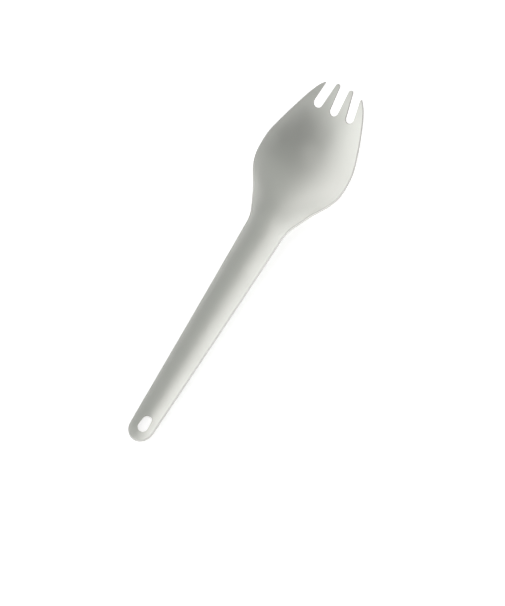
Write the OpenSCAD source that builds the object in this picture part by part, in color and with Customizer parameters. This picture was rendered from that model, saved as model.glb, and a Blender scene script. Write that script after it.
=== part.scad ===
// One-piece spork pressed from thin sheet metal. A shallow bowl ends in four tines, and its
// trough-shaped handle ends in a dished round with a teardrop hanging hole. It lies hollow side
// up, as on a table, with +Y to the tines, +X to the right and +Z up.

/* [Overall] */
// Length in plan, from the round handle end to the inner tine tips
overall_length = 165; // [155:1:180]
// Width of the bowl where it is widest, at the middle of the sheet's thickness
bowl_width = 39.5; // [36:0.5:44]
// Thickness of the sheet
sheet = 1; // [0.7:0.1:1.4]

/* [Handle] */
// Distance of the neck, where the bowl begins, from the handle end
neck_at = 97; // [85:1:105]
// Width of the neck
neck_width = 16; // [13:0.1:19]
// Width that the handle tapers to at its end, before the corners are rounded
end_width = 9.8; // [9:0.1:13]
// Length of the rounded, dished end
end_round = 5.5; // [4.5:0.1:7]
// Depth of the trough at the handle end
end_hollow = 1.2; // [0.6:0.1:2]
// Depth of the trough at the neck
neck_hollow = 2.4; // [1.5:0.1:3.5]
// Rise of the rim line from the slow curve of the handle
handle_rise = 3.9; // [2.5:0.1:5]

/* [Bowl] */
// Depth of the bowl below its rim
bowl_hollow = 4.9; // [4:0.1:7]
// Rise of the rim line from the upward sweep of the tines
tine_rise = 10.2; // [8:0.1:15]

/* [Tines] */
// Depth of the slots, from the inner tine tips to the slot bottoms
slot_depth = 11.1; // [8:0.1:13]
// Radius of the slot bottoms
slot_r = 1.85; // [1.5:0.05:2.1]
// Distance of the outer slots from the middle line at their bottoms
outer_slot_at = 7.4; // [6.9:0.1:7.8]
// Radius of the inner tine tips
inner_tip_r = 0.9; // [0.6:0.05:1.1]
// Distance of the inner tine tips from the middle line
inner_tip_at = 3; // [2.7:0.1:3.4]
// Radius of the sharp outer tine tips
outer_tip_r = 0.3; // [0.2:0.05:0.4]
// How far the outer tips stand back from the inner ones
outer_tip_back = 1.7; // [1:0.1:2.4]
// How far the outer edge curls in to the outer tips
curl_in = 1.9; // [1.6:0.1:2.4]
// Length of that curl, back from the inner tips
curl_length = 5; // [4:0.1:7]

/* [Hanging hole] */
// Distance of the wide round from the handle end
hole_at = 6.4; // [5.8:0.1:8]
// Radius of the wide round, nearest the handle end
hole_wide_r = 2.15; // [1.8:0.05:2.4]
// Radius of the narrow round, nearest the bowl
hole_narrow_r = 1.9; // [1.5:0.05:2]
// Distance between the two rounds' centres
hole_spacing = 3; // [2.5:0.1:4]

/* [Hidden] */

// Half-width of the bowl at even steps from neck to tips, as shares of its widest half-width
flare_shares = [0.55, 0.68, 0.88, 1.00, 1.01, 1.00, 0.91, 0.82, 0.71, 0.59, 0.40];
// Depth of the bowl at even steps from neck to tips, as shares of its full depth
hollow_shares = [0.89, 1.00, 1.00, 0.92, 0.76, 0.43, 0.07];
// Powers of the rim line's slow curve, of its sweep at the tines and of the outer edge's curl
handle_power = 2;
sweep_power = 6.6;
curl_power = 2.5;

// Mesh: strips across the sheet, rows of the dished end, the handle and the bowl
strips = 28;
end_rows = 10;
handle_rows = 14;
bowl_rows = 52;
arc_steps = 20;
$fn = 80;

// Overrun of the sheet and of every cut past what they meet
overrun = sheet / 2;
// Reach of the cutters through the curved sheet
cut_reach = bowl_hollow + sheet;
// Small step for measuring the slope of the sheet
probe = sheet / 50;

// Lines along the handle: where the curved rows of the end have straightened, where bowl rows start
straight_at = 4 * end_round;
bowl_rows_at = neck_at - end_round;
slot_at = overall_length - slot_depth + slot_r;
outer_tip_line = overall_length - outer_tip_back;
curl_at = overall_length - curl_length;
hole_end_at = hole_at + hole_spacing;

function mix(from, to, t) = from + (to - from) * t;
function pick(shares, i) = shares[min(max(i, 0), len(shares) - 1)];

// Smooth curve that evenly spaced shares pull along, for t from 0 to 1
function smooth(shares, t) =
    let (steps = len(shares) - 1, at = min(max(t, 0), 1) * steps)
    let (i = min(floor(at), steps - 1), f = at - i)
    let (before = (1 - f)^3, near = 3 * f^3 - 6 * f^2 + 4)
    let (next = -3 * f^3 + 3 * f^2 + 3 * f + 1, after = f^3)
    (before * pick(shares, i - 1) + near * pick(shares, i)
        + next * pick(shares, i + 1) + after * pick(shares, i + 2)) / (before + near + next + after);

// A size along the spork: it runs evenly down the handle, then follows its shares of the bowl's size
function along(end, neck, bowl, shares, s) =
    s < neck_at ? mix(end, neck, s / neck_at)
    : bowl * smooth(concat([neck / bowl, neck / bowl], shares), (s - neck_at) / (overall_length - neck_at));

function half_width(s) = along(end_width, neck_width, bowl_width, flare_shares, s) / 2;
function hollow(s) = along(end_hollow, neck_hollow, bowl_hollow, hollow_shares, s);
function curl(s) = curl_in * max(0, (s - curl_at) / curl_length)^curl_power;
function edge_x(s) = half_width(s) - curl(s);
function rim(s) = handle_rise * (s / overall_length)^handle_power
    + tine_rise * max(0, s / overall_length)^sweep_power;

// Square of the share of the way from the middle of the hollow out to its rim
function out_square(x, s) = (x / half_width(s))^2 + (max(0, end_round - s) / end_round)^2;
// Height of the sheet's middle surface
function height(x, s) = rim(s) - hollow(s) * (1 - out_square(x, s));
function slope_x(x, s) = (height(x + probe, s) - height(x - probe, s)) / (2 * probe);
function slope_s(x, s) = (height(x, s + probe) - height(x, s - probe)) / (2 * probe);
function facing(x, s) = let (n = [-slope_x(x, s), -slope_s(x, s), 1]) n / norm(n);

// Rows run straight across, except that they bend round the handle end
stations = concat(
    [for (i = [0:end_rows - 1]) straight_at * i / end_rows],
    [for (i = [0:handle_rows - 1]) mix(straight_at, bowl_rows_at, i / handle_rows)],
    [for (i = [0:bowl_rows]) mix(bowl_rows_at, overall_length + overrun, i / bowl_rows)]
);
function bend(u, station) = end_round * (1 - sqrt(1 - u^2)) * max(0, 1 - station / straight_at);
function plan_point(u, station) = let (s = station + bend(u, station)) [u * edge_x(s), s];
plan = [for (station = stations, j = [0:strips]) plan_point(sin(mix(-90, 90, j / strips)), station)];

function skin(side) = [for (p = plan) [p.x, p.y, height(p.x, p.y)] + side * sheet / 2 * facing(p.x, p.y)];
under_skin = skin(-1);
ground = min([for (p = under_skin) p.z]);

// Where a straight wall touches one round on its way to another, as an angle about the first
function touch(c, r, to, to_r, side) = let (v = to - c) atan2(v.y, v.x) + side * acos((r + to_r) / norm(v));
function arc(c, r, from, to) = [for (i = [0:arc_steps]) c + r * [cos(mix(from, to, i / arc_steps)),
    sin(mix(from, to, i / arc_steps))]];
function mirrored(points) = [for (i = [len(points) - 1:-1:0]) [-points[i].x, points[i].y]];

outer_slope = (edge_x(outer_tip_line) - edge_x(outer_tip_line - probe)) / probe;
outer_edge_angle = atan2(-outer_slope, 1);
outer_tip = [edge_x(outer_tip_line), outer_tip_line]
    - outer_tip_r * [cos(outer_edge_angle), sin(outer_edge_angle)];
inner_tip = [inner_tip_at, overall_length - inner_tip_r];
outer_slot = [outer_slot_at, slot_at];
middle_slot = [0, slot_at];

// Walls of the slots, each straight from a slot bottom to the round tip of a tine
outer_wall = touch(outer_slot, slot_r, outer_tip, outer_tip_r, -1);
inner_wall = touch(outer_slot, slot_r, inner_tip, inner_tip_r, 1);
middle_wall = touch(middle_slot, slot_r, inner_tip, inner_tip_r, -1);

// Front edge of the right half in plan, from outside the outer tip to the middle slot's bottom
front_half = concat(
    [outer_tip + curl_length * [cos(outer_edge_angle), sin(outer_edge_angle)]],
    arc(outer_tip, outer_tip_r, outer_edge_angle, outer_wall + 180),
    arc(outer_slot, slot_r, outer_wall, inner_wall - 360),
    arc(inner_tip, inner_tip_r, inner_wall - 180, middle_wall + 180),
    arc(middle_slot, slot_r, middle_wall, -90)
);
front_line = overall_length + curl_length;
front_corner = [front_half[0].x, front_line];
front_plan = concat([front_corner], front_half, mirrored(front_half), mirrored([front_corner]));

// The tines are cut square to the sheet, in a plane that leans as they do
cut_origin = [0, (slot_at + overall_length) / 2];
cut_height = height(inner_tip_at, cut_origin.y);
cut_lean = atan(slope_s(inner_tip_at, cut_origin.y));
function leaned(p) = [p.x, (p.y - cut_origin.y) / cos(cut_lean)];

// Flanks of the hanging hole touch both of its rounds
hole_turn = acos((hole_wide_r - hole_narrow_r) / hole_spacing);
hole_side = [sin(hole_turn), cos(hole_turn)];
hole_flank = [[0, hole_at] + hole_wide_r * hole_side, [0, hole_end_at] + hole_narrow_r * hole_side];

module sheet_form() {
    count = len(plan);
    row = strips + 1;
    last = count - row;
    cells = [for (i = [0:len(stations) - 2], j = [0:strips - 1]) i * row + j];
    upper_faces = [for (a = cells, f = [[a, a + row, a + row + 1], [a, a + row + 1, a + 1]]) f];
    lower_faces = [for (f = upper_faces) [f[2], f[1], f[0]] + [count, count, count]];
    rim_path = concat(
        [for (j = [0:strips - 1]) j],
        [for (i = [0:len(stations) - 2]) i * row + strips],
        [for (j = [strips:-1:1]) last + j],
        [for (i = [len(stations) - 1:-1:1]) i * row]
    );
    rim_pairs = [for (k = [0:len(rim_path) - 1]) [rim_path[k], rim_path[(k + 1) % len(rim_path)]]];
    rim_faces = [for (e = rim_pairs, f = [[e[0], e[1], e[1] + count], [e[0], e[1] + count, e[0] + count]]) f];
    polyhedron(points = concat(skin(1), under_skin), faces = concat(upper_faces, lower_faces, rim_faces));
}

module tine_cut() {
    translate([0, cut_origin.y, cut_height])
        rotate([cut_lean, 0, 0])
            linear_extrude(height = 2 * cut_reach, center = true)
                polygon([for (p = front_plan) leaned(p)]);
}

module hole_round(at, r) {
    translate([0, at, -cut_reach]) cylinder(h = 2 * cut_reach, r = r);
}

module hanging_hole() {
    hole_round(hole_at, hole_wide_r);
    hole_round(hole_end_at, hole_narrow_r);
    translate([0, 0, -cut_reach])
        linear_extrude(height = 2 * cut_reach)
            polygon(concat(hole_flank, mirrored(hole_flank)));
}

module spork() {
    color([0.71, 0.72, 0.69])
        translate([0, -overall_length / 2, -ground])
            difference() {
                sheet_form();
                tine_cut();
                hanging_hole();
            }
}

spork();
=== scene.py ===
"""Looks of the one-piece spork: the pressed sheet with softened cut edges, its blasted metal and
the studio. Plan points and sizes are in millimetres, as in the part's source, and become metres in
the mesh. In plan, x runs across the spork and s along it, from the handle end to the tine tips."""

import math

import bpy
import numpy as np
from mathutils import Matrix, Vector
from mathutils.geometry import delaunay_2d_cdt


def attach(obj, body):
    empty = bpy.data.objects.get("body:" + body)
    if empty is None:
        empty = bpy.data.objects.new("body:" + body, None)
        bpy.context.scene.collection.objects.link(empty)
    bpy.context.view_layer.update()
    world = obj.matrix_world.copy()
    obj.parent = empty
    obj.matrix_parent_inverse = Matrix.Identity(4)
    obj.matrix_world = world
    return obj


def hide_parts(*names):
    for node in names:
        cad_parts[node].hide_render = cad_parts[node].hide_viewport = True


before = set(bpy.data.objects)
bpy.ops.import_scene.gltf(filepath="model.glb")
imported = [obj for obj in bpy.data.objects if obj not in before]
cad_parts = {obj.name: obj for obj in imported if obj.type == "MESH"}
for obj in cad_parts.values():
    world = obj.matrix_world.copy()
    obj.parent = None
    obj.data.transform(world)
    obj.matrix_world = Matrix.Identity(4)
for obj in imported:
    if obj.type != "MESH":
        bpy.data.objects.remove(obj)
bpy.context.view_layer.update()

# Sizes, as in the part's source
MM = 0.001
LENGTH, BOWL_WIDTH, SHEET = 165.0, 39.5, 1.0
NECK_AT, NECK_WIDTH, END_WIDTH, END_ROUND = 97.0, 16.0, 9.8, 5.5
END_HOLLOW, NECK_HOLLOW, BOWL_HOLLOW = 1.2, 2.4, 4.9
HANDLE_RISE, TINE_RISE = 3.9, 10.2
SLOT_DEPTH, SLOT_R, OUTER_SLOT_AT = 11.1, 1.85, 7.4
INNER_TIP_R, INNER_TIP_AT, OUTER_TIP_R, OUTER_TIP_BACK = 0.9, 3.0, 0.3, 1.7
CURL_IN, CURL_LENGTH = 1.9, 5.0
HOLE_AT, HOLE_WIDE_R, HOLE_NARROW_R, HOLE_SPACING = 6.4, 2.15, 1.9, 3.0
FLARE_SHARES = (0.55, 0.68, 0.88, 1.00, 1.01, 1.00, 0.91, 0.82, 0.71, 0.59, 0.40)
HOLLOW_SHARES = (0.89, 1.00, 1.00, 0.92, 0.76, 0.43, 0.07)
HANDLE_POWER, SWEEP_POWER, CURL_POWER = 2, 6.6, 2.5

# Softened corners of the cut edges
CORNER_R, CORNER_STEPS = 0.12, 4

# Mesh: pitch of the skins' grid, its distance from the edges, and the longest steps along these
GRID = 1.0
GRID_CLEARANCE = GRID * 0.55
EDGE_STEP, HOLE_STEP = 0.6, 0.3
# Steps of the quarter turn at the handle end, and round the tips, the slots and the hole
END_STEPS = 25
OUTER_TIP_STEPS, OUTER_SLOT_STEPS, INNER_TIP_STEPS, MIDDLE_SLOT_STEPS = 12, 22, 18, 11
HOLE_NARROW_STEPS, HOLE_WIDE_STEPS = 18, 30
# Small step for measuring slopes, number of points tried for the lowest one, and how near two
# points have to be to count as one
PROBE = 0.02
LOWEST_TRIES = 2000
SAME_POINT = 1e-7

RIGHT_ANGLE = math.pi / 2


# Form of the sheet
def smooth(shares, t):
    """Uniform cubic B-spline that evenly spaced shares pull along, for t from 0 to 1."""
    shares = np.asarray(shares, float)
    last = len(shares) - 1
    at = np.clip(t, 0, 1) * last
    i = np.minimum(np.floor(at).astype(int), last - 1)
    f = at - i

    def pick(k):
        return shares[np.clip(k, 0, last)]

    return ((1 - f) ** 3 * pick(i - 1) + (3 * f ** 3 - 6 * f ** 2 + 4) * pick(i)
            + (-3 * f ** 3 + 3 * f ** 2 + 3 * f + 1) * pick(i + 1) + f ** 3 * pick(i + 2)) / 6


def along(end, neck, bowl, shares, s):
    """A size along the spork: even down the handle, then by its shares of the bowl's size."""
    handle = end + (neck - end) * s / NECK_AT
    head = bowl * smooth((neck / bowl,) * 2 + shares, (s - NECK_AT) / (LENGTH - NECK_AT))
    return np.where(s < NECK_AT, handle, head)


def half_width(s):
    return along(END_WIDTH, NECK_WIDTH, BOWL_WIDTH, FLARE_SHARES, s) / 2


def edge_x(s):
    curl = CURL_IN * np.maximum(0, (s - LENGTH + CURL_LENGTH) / CURL_LENGTH) ** CURL_POWER
    return half_width(s) - curl


def height(x, s):
    """Height of the sheet's middle surface, before the spork is set down."""
    rim = (HANDLE_RISE * (s / LENGTH) ** HANDLE_POWER
           + TINE_RISE * np.maximum(0, s / LENGTH) ** SWEEP_POWER)
    hollow = along(END_HOLLOW, NECK_HOLLOW, BOWL_HOLLOW, HOLLOW_SHARES, s)
    out_square = (x / half_width(s)) ** 2 + (np.maximum(0, END_ROUND - s) / END_ROUND) ** 2
    return rim - hollow * (1 - out_square)


def slopes(x, s):
    """Slopes of the middle surface, across and along the spork."""
    return ((height(x + PROBE, s) - height(x - PROBE, s)) / (2 * PROBE),
            (height(x, s + PROBE) - height(x, s - PROBE)) / (2 * PROBE))


def unit(v):
    return v / np.linalg.norm(v, axis=-1, keepdims=True)


def lift(plan):
    """Points of the middle surface over plan points, and the unit normals there."""
    x, s = plan[:, 0], plan[:, 1]
    across, onward = slopes(x, s)
    return (np.column_stack([x, s, height(x, s)]),
            unit(np.column_stack([-across, -onward, np.ones(len(x))])))


def lowest():
    """Height of the underside where the spork touches the table."""
    s = np.linspace(END_ROUND, LENGTH, LOWEST_TRIES)
    mid, up = lift(np.column_stack([np.zeros(len(s)), s]))
    return float((mid - up * SHEET / 2)[:, 2].min())


# Outlines in plan
def touch(c, r, to, to_r, side):
    """Where a straight wall leaves one round for another across it, as an angle about the first."""
    v = to - c
    return math.atan2(v[1], v[0]) + side * math.acos((r + to_r) / math.hypot(*v))


def arc(c, r, start, stop, steps):
    a = np.linspace(start, stop, steps + 1)
    return np.column_stack([c[0] + r * np.cos(a), c[1] + r * np.sin(a)])


def filled(path, step):
    """The path with its long straights split into even steps."""
    out = [path[:1]]
    for p, q in zip(path[:-1], path[1:]):
        n = max(1, math.ceil(np.linalg.norm(q - p) / step))
        out.append(p + (q - p) * np.arange(1, n + 1)[:, None] / n)
    return np.concatenate(out)


def outline():
    """Outline, anticlockwise from above: handle end, right side, tines and left side."""
    turn = np.linspace(0, RIGHT_ANGLE, END_STEPS + 1)
    end_s = END_ROUND * (1 - np.cos(turn))
    end = np.column_stack([np.sin(turn) * edge_x(end_s), end_s])
    tip_line = LENGTH - OUTER_TIP_BACK
    side_steps = round((tip_line - END_ROUND) / EDGE_STEP)
    side_s = np.linspace(END_ROUND, tip_line, side_steps + 1)[1:]
    side = np.column_stack([edge_x(side_s), side_s])

    lean = math.atan2(float(edge_x(tip_line - PROBE) - edge_x(tip_line)) / PROBE, 1)
    slot_s = LENGTH - SLOT_DEPTH + SLOT_R
    outer_tip = side[-1] - OUTER_TIP_R * np.array([math.cos(lean), math.sin(lean)])
    inner_tip = np.array([INNER_TIP_AT, LENGTH - INNER_TIP_R])
    outer_slot, middle_slot = np.array([OUTER_SLOT_AT, slot_s]), np.array([0.0, slot_s])
    outer_wall = touch(outer_slot, SLOT_R, outer_tip, OUTER_TIP_R, -1)
    inner_wall = touch(outer_slot, SLOT_R, inner_tip, INNER_TIP_R, 1)
    middle_wall = touch(middle_slot, SLOT_R, inner_tip, INNER_TIP_R, -1)
    right = filled(np.concatenate([
        end, side,
        arc(outer_tip, OUTER_TIP_R, lean, outer_wall + math.pi, OUTER_TIP_STEPS)[1:],
        arc(outer_slot, SLOT_R, outer_wall, inner_wall - 2 * math.pi, OUTER_SLOT_STEPS),
        arc(inner_tip, INNER_TIP_R, inner_wall - math.pi, middle_wall + math.pi, INNER_TIP_STEPS),
        arc(middle_slot, SLOT_R, middle_wall, -RIGHT_ANGLE, MIDDLE_SLOT_STEPS),
    ]), EDGE_STEP)
    left = right[-2:0:-1] * [-1, 1]
    return np.concatenate([right, left])


def hole_outline():
    """Outline of the hanging hole, clockwise from above, so that the sheet stays on its left."""
    turn = math.acos((HOLE_WIDE_R - HOLE_NARROW_R) / HOLE_SPACING)
    narrow = arc((0, HOLE_AT + HOLE_SPACING), HOLE_NARROW_R,
                 RIGHT_ANGLE + turn, RIGHT_ANGLE - turn, HOLE_NARROW_STEPS)
    wide = arc((0, HOLE_AT), HOLE_WIDE_R,
               RIGHT_ANGLE - turn, turn - 3 * RIGHT_ANGLE, HOLE_WIDE_STEPS)
    return filled(np.concatenate([narrow, wide, narrow[:1]]), HOLE_STEP)[:-1]


def inside(points, loop):
    """Which points lie inside the closed loop."""
    x, y = points[:, :1], points[:, 1:]
    ax, ay = loop[:, 0], loop[:, 1]
    bx, by = np.roll(ax, -1), np.roll(ay, -1)
    crossing = (ay > y) != (by > y)
    rise = np.where(by == ay, 1, by - ay)
    return (crossing & (x < ax + (bx - ax) * (y - ay) / rise)).sum(1) % 2 == 1


# Mesh of the sheet
def edge_rows(loop):
    """Rows of points and normals round a cut edge, from its upper skin over two softened corners
    to its lower skin, and the plan points where the skins end."""
    step = unit(np.roll(loop, -1, 0) - loop)
    tangent = unit(step + np.roll(step, 1, 0))
    mid, up = lift(loop)
    across, onward = slopes(loop[:, 0], loop[:, 1])
    rise = tangent[:, 0] * across + tangent[:, 1] * onward
    out = np.cross(unit(np.column_stack([tangent, rise])), up)
    rows, normals = [], []
    for side in (1, -1):
        corner = np.linspace(0, RIGHT_ANGLE, CORNER_STEPS + 1)[::side]
        for a in corner:
            reach = CORNER_R * (math.sin(a) - 1)
            level = side * (SHEET / 2 - CORNER_R * (1 - math.cos(a)))
            rows.append(mid + out * reach + up * level)
            normals.append(out * math.sin(a) + up * side * math.cos(a))
    return rows, normals, loop - CORNER_R * out[:, :2]


def grid_inside(loop, hole):
    """Staggered grid of plan points inside the skin, clear of its edges."""
    lo, hi = loop.min(0), loop.max(0)
    rows = []
    for i, s in enumerate(np.arange(lo[1], hi[1], GRID * math.sqrt(3) / 2)):
        x = np.arange(lo[0] + GRID * (i % 2) / 2, hi[0], GRID)
        rows.append(np.column_stack([x, np.full(len(x), s)]))
    points = np.concatenate(rows)
    points = points[inside(points, loop) & ~inside(points, hole)]
    edge = np.concatenate([filled(np.concatenate([p, p[:1]]), GRID / 3) for p in (loop, hole)])
    distance = np.array([np.min(np.hypot(*(edge - p).T)) for p in points])
    return points[distance > GRID_CLEARANCE]


def on_sheet(triangle, walls, centre_inside):
    """Whether a triangle is part of the skin, which lies on the left of every wall."""
    sides = list(zip(triangle, triangle[1:] + triangle[:1]))
    if any((b, a) in walls for a, b in sides):
        return False
    return centre_inside or any(side in walls for side in sides)


def skin_triangles(skin_edges, inner):
    """Triangles of a skin, as numbers of its points: outline, hole and then inner ones."""
    plan = np.concatenate(skin_edges + [inner])
    walls, start = [], 0
    for edge in skin_edges:
        n = len(edge)
        walls += [(start + i, start + (i + 1) % n) for i in range(n)]
        start += n
    _, _, found, origin, *_ = delaunay_2d_cdt([Vector(p) for p in plan], walls, [], 0, SAME_POINT)
    triangles = [[origin[i][0] for i in triangle] for triangle in found]
    centres = plan[np.array(triangles)].mean(1)
    centre_inside = inside(centres, skin_edges[0]) & ~inside(centres, skin_edges[1])
    wall_sides = set(walls)
    return np.array([triangle for triangle, within in zip(triangles, centre_inside)
                     if on_sheet(triangle, wall_sides, within)])


def placed(name, data):
    """New object of the scene."""
    obj = bpy.data.objects.new(name, data)
    bpy.context.scene.collection.objects.link(obj)
    return obj


def make_sheet(name, ground):
    """The spork, lowered by the height where its underside touches the table."""
    cuts = [edge_rows(loop) for loop in (outline(), hole_outline())]
    skin_edges = [skin_edge for _, _, skin_edge in cuts]
    inner = grid_inside(*skin_edges)

    mid, up = lift(inner)
    points = [mid + up * SHEET / 2, mid - up * SHEET / 2]
    normals = [up, -up]
    size = 2 * len(inner)
    row_starts = []
    counts = [len(skin_edge) for skin_edge in skin_edges]
    for (rows, row_normals, _), n in zip(cuts, counts):
        row_starts.append([size + k * n for k in range(len(rows))])
        points += rows
        normals += row_normals
        size += len(rows) * n

    def skin_points(row, first_inner):
        """Numbers of a skin's points in the mesh, in the order that its triangles count them."""
        edges = [starts[row] + np.arange(n) for starts, n in zip(row_starts, counts)]
        return np.concatenate(edges + [first_inner + np.arange(len(inner))])

    faces = skin_triangles(skin_edges, inner)
    upper, lower = skin_points(0, 0), skin_points(-1, len(inner))
    polygons = upper[faces].tolist() + lower[faces][:, ::-1].tolist()
    skin_count = len(polygons)
    for starts, n in zip(row_starts, counts):
        for a, b in zip(starts[:-1], starts[1:]):
            polygons += [(a + i, b + i, b + (i + 1) % n, a + (i + 1) % n) for i in range(n)]

    points, normals = np.concatenate(points), np.concatenate(normals)
    points[:, 1] -= LENGTH / 2
    points[:, 2] -= ground
    mesh = bpy.data.meshes.new(name)
    mesh.from_pydata((points * MM).tolist(), [], polygons)
    mesh.materials.append(blasted_titanium("blasted_skin", **SKIN_FINISH))
    # The cut edges' material carries painted shade as well as their own sheared finish
    mesh.materials.append(blasted_titanium("blasted_edge_and_painted_shade", **EDGE_FINISH_AND_PAINTED_SHADE))
    on_cut_edge = np.arange(len(polygons)) >= skin_count
    mesh.polygons.foreach_set("material_index", on_cut_edge.astype(int))
    mesh.validate()
    mesh.shade_smooth()
    mesh.normals_split_custom_set_from_vertices(normals.tolist())
    return placed(name, mesh)


# Materials
class Nodes:
    """Short calls for building the node tree of a material or of the world."""

    # Sockets of the Mix node that are its two colours and its result
    MIX_A, MIX_B, MIX_RESULT = 6, 7, 2

    def __init__(self, owner):
        owner.use_nodes = True
        self.tree = owner.node_tree
        self.tree.nodes.clear()

    def add(self, kind, inputs=None, **settings):
        """New node. Each of its inputs is linked to a socket or set to a value."""
        node = self.tree.nodes.new(kind)
        for key, value in settings.items():
            setattr(node, key, value)
        for socket, value in (inputs or {}).items():
            if isinstance(value, bpy.types.NodeSocket):
                self.tree.links.new(value, node.inputs[socket])
            else:
                node.inputs[socket].default_value = value
        return node

    def maths(self, operation, a, b):
        return self.add("ShaderNodeMath", {0: a, 1: b}, operation=operation).outputs[0]

    def noise(self, place, scale, detail, roughness):
        return self.add("ShaderNodeTexNoise", {
            "Vector": place, "Scale": scale, "Detail": detail, "Roughness": roughness,
        }).outputs["Fac"]

    def tone(self, factor, dark, pale):
        """Colour between a dark and a pale one."""
        return self.add("ShaderNodeMix", {
            "Factor": factor, self.MIX_A: (*dark, 1), self.MIX_B: (*pale, 1),
        }, data_type="RGBA").outputs[self.MIX_RESULT]


# Tones, roughness and share of the grazing reflections that each keeps
SKIN_FINISH = {"dark": (0.634, 0.648, 0.607), "pale": (0.666, 0.678, 0.637),
               "roughness": 0.50, "grazing": 0.7}
# Cut edges: darker tones and dim grazing reflections, partly sheared finish, partly painted shade
EDGE_FINISH_AND_PAINTED_SHADE = {"dark": (0.524, 0.524, 0.502), "pale": (0.553, 0.551, 0.530),
               "roughness": 0.45, "grazing": 0.2}
# Cloudy patches: scale, detail and roughness of the noise, its usual range, and their effect
CLOUDS = (90.0, 3.0, 0.55)
CLOUD_RANGE = (0.3, 0.7)
ROUGH_SPREAD = 0.03
# Blasted grain: scale, detail and roughness of the noise, strength of its bump and depth in metres
GRAIN = (5200.0, 2.0, 0.6)
GRAIN_STRENGTH, GRAIN_DEPTH = 0.25, 0.00002


def blasted_titanium(name, dark, pale, roughness, grazing):
    """Matte bead-blasted metal: fine dimples, faint cloudy patches of colour and roughness."""
    material = bpy.data.materials.new(name)
    n = Nodes(material)
    place = n.add("ShaderNodeTexCoord").outputs["Object"]
    clouds = n.noise(place, *CLOUDS)
    rough = n.add("ShaderNodeMapRange", {
        "Value": clouds, "From Min": CLOUD_RANGE[0], "From Max": CLOUD_RANGE[1],
        "To Min": roughness - ROUGH_SPREAD, "To Max": roughness + ROUGH_SPREAD})
    bump = n.add("ShaderNodeBump", {
        "Height": n.noise(place, *GRAIN), "Strength": GRAIN_STRENGTH, "Distance": GRAIN_DEPTH})
    shader = n.add("ShaderNodeBsdfPrincipled", {
        "Base Color": n.tone(clouds, dark, pale), "Roughness": rough.outputs[0], "Metallic": 1.0,
        "Specular Tint": (grazing, grazing, grazing, 1), "Normal": bump.outputs["Normal"]})
    n.add("ShaderNodeOutputMaterial", {"Surface": shader.outputs[0]})
    return material


# Floor: half its side in metres, the tones of the paper, the scale of its grain, and the glow that
# makes it white to the camera
FLOOR_HALF = 6.0
PAPER_DARK, PAPER_PALE = (0.86, 0.86, 0.86), (0.89, 0.89, 0.89)
PAPER_GRAIN = 60.0
FLOOR_LIFT = 0.45


def paper_floor():
    """Matte white paper that shows white to the camera and in reflections, and keeps the shadow."""
    material = bpy.data.materials.new("paper_floor")
    n = Nodes(material)
    place = n.add("ShaderNodeTexCoord").outputs["Object"]
    grain = n.add("ShaderNodeTexNoise", {"Vector": place, "Scale": PAPER_GRAIN}).outputs["Fac"]
    paper = n.add("ShaderNodeBsdfDiffuse", {"Color": n.tone(grain, PAPER_DARK, PAPER_PALE)})
    path = n.add("ShaderNodeLightPath").outputs
    seen = n.maths("MAXIMUM", path["Is Camera Ray"], path["Is Glossy Ray"])
    seen = n.maths("MAXIMUM", seen, path["Is Transmission Ray"])
    glow = n.add("ShaderNodeEmission", {"Strength": n.maths("MULTIPLY", seen, FLOOR_LIFT)})
    both = n.add("ShaderNodeAddShader", {0: paper.outputs[0], 1: glow.outputs[0]})
    n.add("ShaderNodeOutputMaterial", {"Surface": both.outputs[0]})
    return material


# Studio walls: their brightness at the horizon, how fast it falls with height, and its limit
WALL_BRIGHTNESS, WALL_POWER, WALL_LIMIT = 4.46, 3.0, 2.5
WALL_COLOUR = (1, 0.985, 1)
# Distance of the lamps, in metres
LAMP_DISTANCE = 2.0
# Lamps: name, azimuth, elevation and half the angle that each fills, in degrees, brightness and
# colour
LAMPS = (
    ("front_low_lamp", 348, 18, 31, 1.13, (0.99, 1.00, 0.98)),
    ("right_lamp", 95, 23, 32, 0.39, (1.00, 1.00, 1.00)),
    ("left_front_lamp", 299, 41, 15, 1.46, (1.00, 1.00, 1.00)),
    ("left_lamp", 256, 44, 16, 1.51, (1.00, 0.97, 0.98)),
    ("back_left_lamp", 223, 61, 12, 1.93, (1.00, 0.99, 0.98)),
    ("back_top_lamp", 147, 70, 14, 1.15, (0.97, 1.00, 0.97)),
)


# Stage, light and camera
def make_floor():
    mesh = bpy.data.meshes.new("floor")
    corners = [(x * FLOOR_HALF, y * FLOOR_HALF, 0) for x, y in ((-1, -1), (1, -1), (1, 1), (-1, 1))]
    mesh.from_pydata(corners, [], [(0, 1, 2, 3)])
    mesh.materials.append(paper_floor())
    floor = placed("floor", mesh)


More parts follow.
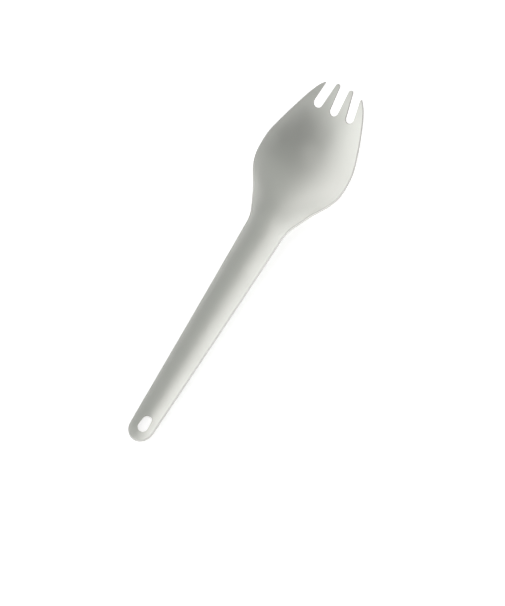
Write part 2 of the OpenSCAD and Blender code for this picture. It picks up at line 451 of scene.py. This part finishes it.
def make_world():
    """Pale studio walls, brightest low down, that fall off to the ceiling."""
    world = bpy.data.worlds.new("studio")
    n = Nodes(world)
    place = n.add("ShaderNodeTexCoord").outputs["Generated"]
    up = n.add("ShaderNodeSeparateXYZ", {0: place}).outputs["Z"]
    below_top = n.add("ShaderNodeMapRange", {"Value": up, "To Min": 1, "To Max": 0}).outputs[0]
    fall_off = n.maths("POWER", below_top, WALL_POWER)
    strength = n.maths("MINIMUM", n.maths("MULTIPLY", fall_off, WALL_BRIGHTNESS), WALL_LIMIT)
    walls = n.add("ShaderNodeBackground", {"Color": (*WALL_COLOUR, 1), "Strength": strength})
    n.add("ShaderNodeOutputWorld", {"Surface": walls.outputs[0]})
    bpy.context.scene.world = world


def aim(azimuth, elevation):
    """Unit vector towards a direction. Azimuth turns from -Y to +X, elevation from the horizon."""
    a, e = math.radians(azimuth), math.radians(elevation)
    return Vector((math.sin(a) * math.cos(e), -math.cos(a) * math.cos(e), math.sin(e)))


def soft_light(name, azimuth, elevation, half_angle, brightness, colour):
    """Round soft lamp facing the spork from afar. A brightness of 1 is white."""
    lamp = bpy.data.lights.new(name, "AREA")
    lamp.shape = "DISK"
    lamp.size = 2 * LAMP_DISTANCE * math.tan(math.radians(half_angle))
    lamp.energy = brightness * math.pi * (math.pi * lamp.size ** 2 / 4)
    lamp.color = colour
    obj = placed(name, lamp)
    obj.location = aim(azimuth, elevation) * LAMP_DISTANCE
    obj.rotation_mode = "QUATERNION"
    obj.rotation_quaternion = aim(azimuth, elevation).to_track_quat("Z", "Y")


def make_camera():
    """Pinhole camera, fitted to the traced outline of the photograph of 505 by 606 pixels."""
    target = Vector((0.009951, -0.009789, -0.003218))
    distance, azimuth, elevation, roll = 1.0, 41.743, 69.583, 11.609
    focal_pixels, long_side, sensor_mm = 2511.9, 606, 36.0
    data = bpy.data.cameras.new("camera")
    data.sensor_width = sensor_mm
    data.lens = focal_pixels * sensor_mm / long_side
    data.clip_start, data.clip_end = 0.05, 50
    back = aim(azimuth, elevation)
    roll_turn = Matrix.Rotation(math.radians(-roll), 3, "Z")
    turn = back.to_track_quat("Z", "Y").to_matrix() @ roll_turn
    camera = placed("camera", data)
    camera.matrix_world = Matrix.Translation(target + back * distance) @ turn.to_4x4()
    bpy.context.scene.camera = camera


# The scene
sheet = make_sheet("spork_sheet", ground=lowest())
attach(sheet, "root")
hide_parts("spork")

make_floor()
make_world()
for lamp in LAMPS:
    soft_light(*lamp)
make_camera()

bpy.context.scene.view_settings.view_transform = "Standard"
